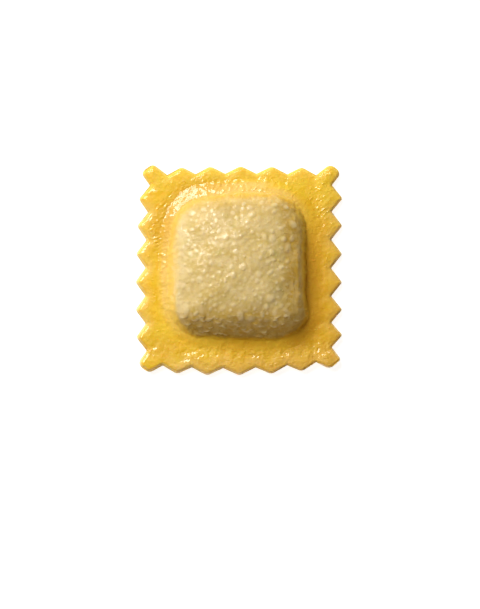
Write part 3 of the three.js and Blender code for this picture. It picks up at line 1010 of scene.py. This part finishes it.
def skin_grain_group():
    """Height of the fine skin of moist dough, in metres: pores, short wrinkles and raised specks."""
    sockets = [
        ("Pore Size", VALUE, 0.0005), ("Pore Depth", VALUE, 0.00003),
        ("Wrinkle Depth", VALUE, 0.00003), ("Speck Height", VALUE, 0.00005),
    ]
    group, given, result = new_group("Skin Grain", sockets, [("Height", VALUE)])
    pores = noise_value(group, given.outputs["Pore Size"])
    pores = maths(group, "MULTIPLY", pores, given.outputs["Pore Depth"])
    folds = noise_value(group, 0.00045, detail=3.0, roughness=0.6, stretch=(0.3, 1.0, 1.0), degrees=-45.0)
    ridged = maths(group, "ABSOLUTE", maths(group, "SUBTRACT", folds, 0.5))
    deeper = maths(group, "MULTIPLY_ADD", mask_value(group, "frost"), 3.5, 1.0)
    wrinkles = maths(group, "MULTIPLY", ridged, given.outputs["Wrinkle Depth"])
    wrinkles = maths(group, "MULTIPLY", wrinkles, deeper)
    raised = remap(group, noise_value(group, 0.0008, detail=1.0), 0.66, 0.74)
    specks = maths(group, "MULTIPLY", raised, given.outputs["Speck Height"])
    skin = maths(group, "ADD", maths(group, "ADD", pores, wrinkles), specks)
    group.links.new(skin, result.inputs["Height"])
    return group


def moisture_group():
    """Wet film in patches: how rough the dough is, and how much film lies on it."""
    sockets = [("Wet Roughness", VALUE, 0.25), ("Dry Roughness", VALUE, 0.5), ("Film", VALUE, 0.5)]
    group, given, result = new_group("Moisture", sockets, [("Roughness", VALUE), ("Film", VALUE)])
    wet = remap(group, noise_value(group, 0.0016, detail=3.0, roughness=0.6), 0.35, 0.65)
    drier = maths(group, "SUBTRACT", given.outputs["Dry Roughness"], given.outputs["Wet Roughness"])
    drought = maths(group, "MAXIMUM", maths(group, "SUBTRACT", 1.0, wet), mask_value(group, "dry"))
    rough = maths(group, "MULTIPLY_ADD", drier, drought, given.outputs["Wet Roughness"])
    group.links.new(rough, result.inputs["Roughness"])
    film = maths(group, "MULTIPLY", maths(group, "MULTIPLY_ADD", wet, 0.5, 0.5), given.outputs["Film"])
    wetted = maths(group, "SUBTRACT", 1.0, mask_value(group, "dry"))
    group.links.new(maths(group, "MULTIPLY", film, wetted), result.inputs["Film"])
    return group


class DoughGroups(NamedTuple):
    """The effects that the dough materials share."""

    mottle: bpy.types.NodeTree
    tint: bpy.types.NodeTree
    skin: bpy.types.NodeTree
    moisture: bpy.types.NodeTree


class Finish(NamedTuple):
    """What sets one face of the raviolo apart: two colours of dough, thinness, moisture and skin."""

    dough: str
    deep: str
    thinness: float
    wet_roughness: float
    dry_roughness: float
    film: float
    pore_depth: float
    wrinkle_depth: float
    speck_height: float


FINISHES = {  # in the order of the raviolo's materials
    "moist_egg_dough": Finish("dough", "deep_dough", 1.0, 0.3, 0.62, 0.75, 0.00004, 0.00006, 0.00005),
    "cut_egg_dough": Finish("cut_face", "dough", 0.0, 0.35, 0.6, 0.2, 0.00005, 0.00003, 0.0),
    "resting_egg_dough": Finish("dough", "pale_dough_and_sheen", 0.45, 0.4, 0.65, 0.1, 0.00005, 0.00002, 0.0),
}
PATCH_SIZE = 0.0045  # metres
SPECKLE = 0.35
PORE_SIZE = 0.00045
DOUGH_BODY = {  # what all the dough has in common
    "IOR": 1.42,
    "Coat Roughness": 0.08,
    "Coat IOR": 1.6,
    "Subsurface Weight": 0.45,
    "Subsurface Radius": (1.0, 0.75, 0.3),
    "Subsurface Scale": 0.0014,
}


def place_group(tree, group, **values):
    """A node group in a material, with values for its inputs; underscores stand for spaces."""
    inputs = {key.replace("_", " "): value for key, value in values.items()}
    return add_node(tree, "ShaderNodeGroup", {"node_tree": group}, inputs)


def new_material(name):
    """An empty material; returns it, its node tree and its shader."""
    material = bpy.data.materials.new(name)
    material.use_nodes = True
    return material, material.node_tree, material.node_tree.nodes["Principled BSDF"]


def dough_material(name, finish, groups, colours):
    """Moist egg dough, from the shared effects."""
    material, tree, shader = new_material(name)
    base, deep = (opaque(getattr(colours, tone)) for tone in (finish.dough, finish.deep))
    dough = place_group(tree, groups.mottle, Dough=base, Deep=deep, Patch_Size=PATCH_SIZE, Speckle=SPECKLE)
    tints = {tint.title(): opaque(getattr(colours, tint)) for tint in TINTS}
    tinted = place_group(tree, groups.tint, Dough=dough.outputs["Color"], Thinness=finish.thinness, **tints)
    moisture = place_group(
        tree, groups.moisture,
        Wet_Roughness=finish.wet_roughness, Dry_Roughness=finish.dry_roughness, Film=finish.film,
    )
    skin = place_group(
        tree, groups.skin,
        Pore_Size=PORE_SIZE, Pore_Depth=finish.pore_depth,
        Wrinkle_Depth=finish.wrinkle_depth, Speck_Height=finish.speck_height,
    )
    relief = {"Strength": 1.0, "Distance": 1.0, "Height": skin.outputs["Height"]}
    bump = add_node(tree, "ShaderNodeBump", None, relief)
    tree.links.new(tinted.outputs["Color"], shader.inputs["Base Color"])
    tree.links.new(moisture.outputs["Roughness"], shader.inputs["Roughness"])
    tree.links.new(moisture.outputs["Film"], shader.inputs["Coat Weight"])
    tree.links.new(bump.outputs["Normal"], shader.inputs["Normal"])
    for label, value in DOUGH_BODY.items():
        shader.inputs[label].default_value = value
    return material


def raviolo_materials(colours):
    """Materials for the filled side, the cut and the underside."""
    groups = DoughGroups(dough_mottle_group(), filling_tint_group(), skin_grain_group(), moisture_group())
    return [dough_material(name, finish, groups, colours) for name, finish in FINISHES.items()]


# ---- Stage -----------------------------------------------------------------

CAMERA_LENS = 100.0  # millimetres, as is the long side of its sensor
CAMERA_SENSOR = 36.0
CAMERA_NEAR = 0.01  # metres, like the sizes and places that follow
VIEW_HEIGHT = 0.1305  # what the picture's long side spans at the rim
VIEW_OFFSET = (0.0002, -0.0074)  # the raviolo stands above the middle of the picture
KEY_FROM = (-0.20, 0.26, 0.34)
KEY_SIZE = 0.30
FILL_FROM = (0.1, -0.75, 0.3)
FILL_SIZE = 0.6
FLOOR_SIZE = 3.0
FLOOR_TOOTH = 0.985  # the hollows of the paper tooth, as a share of the tone of the floor


def add_camera(sizes):
    """A camera straight above, framing the raviolo as seen on a table."""
    camera = bpy.data.cameras.new("camera")
    camera.lens = CAMERA_LENS
    camera.sensor_width = CAMERA_SENSOR
    camera.clip_start = CAMERA_NEAR
    holder = add_object("camera", camera)
    low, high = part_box(NODE)
    middle = (Vector(low) + Vector(high)) / 2
    away = VIEW_HEIGHT * CAMERA_LENS / CAMERA_SENSOR
    holder.location = (middle.x + VIEW_OFFSET[0], middle.y + VIEW_OFFSET[1], sizes.rim_thickness + away)
    bpy.context.scene.camera = holder


def add_soft_light(name, place, size, watts, tint):
    """A large square light that faces the raviolo."""
    lamp = bpy.data.lights.new(name, "AREA")
    lamp.color = tint
    lamp.shape = "SQUARE"
    lamp.size = size
    lamp.energy = watts
    holder = add_object(name, lamp)
    holder.location = place
    holder.rotation_euler = (-Vector(place)).to_track_quat("-Z", "Y").to_euler()


def floor_material(tone, glow):
    """Matt pale floor with a faint paper tooth, lit a little from below."""
    material, tree, shader = new_material("pale_floor")
    tooth = remap(tree, noise_value(tree, 0.002, detail=3.0), 0.3, 0.7)
    darker = tuple(channel * FLOOR_TOOTH for channel in tone)
    tree.links.new(blend_colour(tree, tooth, opaque(tone), opaque(darker)), shader.inputs["Base Color"])
    shader.inputs["Roughness"].default_value = 0.9
    shader.inputs["Specular IOR Level"].default_value = 0.1
    shader.inputs["Emission Color"].default_value = WHITE
    shader.inputs["Emission Strength"].default_value = glow
    return material


def add_floor(tone, glow):
    """The floor, which belongs to the stage."""
    half = FLOOR_SIZE / 2
    mesh = bpy.data.meshes.new("floor")
    corners = [(-half, -half, 0), (half, -half, 0), (half, half, 0), (-half, half, 0)]
    mesh.from_pydata(corners, [], [(0, 1, 2, 3)])
    mesh.materials.append(floor_material(tone, glow))
    floor = add_object("floor", mesh)


def add_room(tint):
    """Even light from all round; seen directly it is plain white."""
    world = bpy.data.worlds.new("room")
    world.use_nodes = True
    tree = world.node_tree
    background = tree.nodes["Background"]
    seen = add_node(tree, "ShaderNodeLightPath").outputs["Is Camera Ray"]
    tree.links.new(blend_colour(tree, seen, opaque(tint), WHITE), background.inputs["Color"])
    bpy.context.scene.world = world


# ---- Add-on ----------------------------------------------------------------


class RAVIOLO_OT_dough(bpy.types.Operator):
    """Model the raviolo: fluted rim, pillow, grains of filling and moist dough"""

    bl_idname = "raviolo.dough"
    bl_label = "Raviolo"

    def execute(self, context):
        scene = context.scene
        materials = raviolo_materials(scene.raviolo_colours)
        piece = raviolo_mesh(scene.raviolo_sizes, materials)
        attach(piece, "root")
        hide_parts(NODE)
        return {"FINISHED"}


class RAVIOLO_OT_stage(bpy.types.Operator):
    """Set the stage: pale floor, soft light from the upper left and a camera above"""

    bl_idname = "raviolo.stage"
    bl_label = "Stage"

    def execute(self, context):
        scene = context.scene
        stage = scene.raviolo_stage
        scene.view_settings.view_transform = "Standard"
        add_camera(scene.raviolo_sizes)
        add_soft_light("key_light", KEY_FROM, KEY_SIZE, stage.key_power, stage.key_colour)
        add_soft_light("fill_light", FILL_FROM, FILL_SIZE, stage.fill_power, stage.fill_colour)
        add_floor(tuple(stage.floor), stage.floor_glow)
        add_room(tuple(stage.room))
        return {"FINISHED"}


class RAVIOLO_PT_panel(bpy.types.Panel):
    """Sizes, colours and steps of the raviolo"""

    bl_label = "Raviolo"
    bl_idname = "RAVIOLO_PT_panel"
    bl_space_type = "VIEW_3D"
    bl_region_type = "UI"
    bl_category = "Raviolo"

    def draw(self, context):
        scene = context.scene
        for settings in (scene.raviolo_sizes, scene.raviolo_colours, scene.raviolo_stage):
            box = self.layout.box()
            for name in settings.__annotations__:
                box.prop(settings, name)
        for operator in (RAVIOLO_OT_stage, RAVIOLO_OT_dough):
            self.layout.operator(operator.bl_idname)


CLASSES = (
    RavioloSizes,
    RavioloColours,
    RavioloStage,
    RAVIOLO_OT_dough,
    RAVIOLO_OT_stage,
    RAVIOLO_PT_panel,
)


def register():
    for cls in CLASSES:
        bpy.utils.register_class(cls)
    bpy.types.Scene.raviolo_sizes = PointerProperty(type=RavioloSizes)
    bpy.types.Scene.raviolo_colours = PointerProperty(type=RavioloColours)
    bpy.types.Scene.raviolo_stage = PointerProperty(type=RavioloStage)


def unregister():
    del bpy.types.Scene.raviolo_stage
    del bpy.types.Scene.raviolo_colours
    del bpy.types.Scene.raviolo_sizes
    for cls in reversed(CLASSES):
        bpy.utils.unregister_class(cls)


def main():
    """Sets the stage, models the raviolo and keeps its size."""
    register()
    bpy.ops.raviolo.stage()
    bpy.ops.raviolo.dough()


if __name__ == "__main__":
    main()
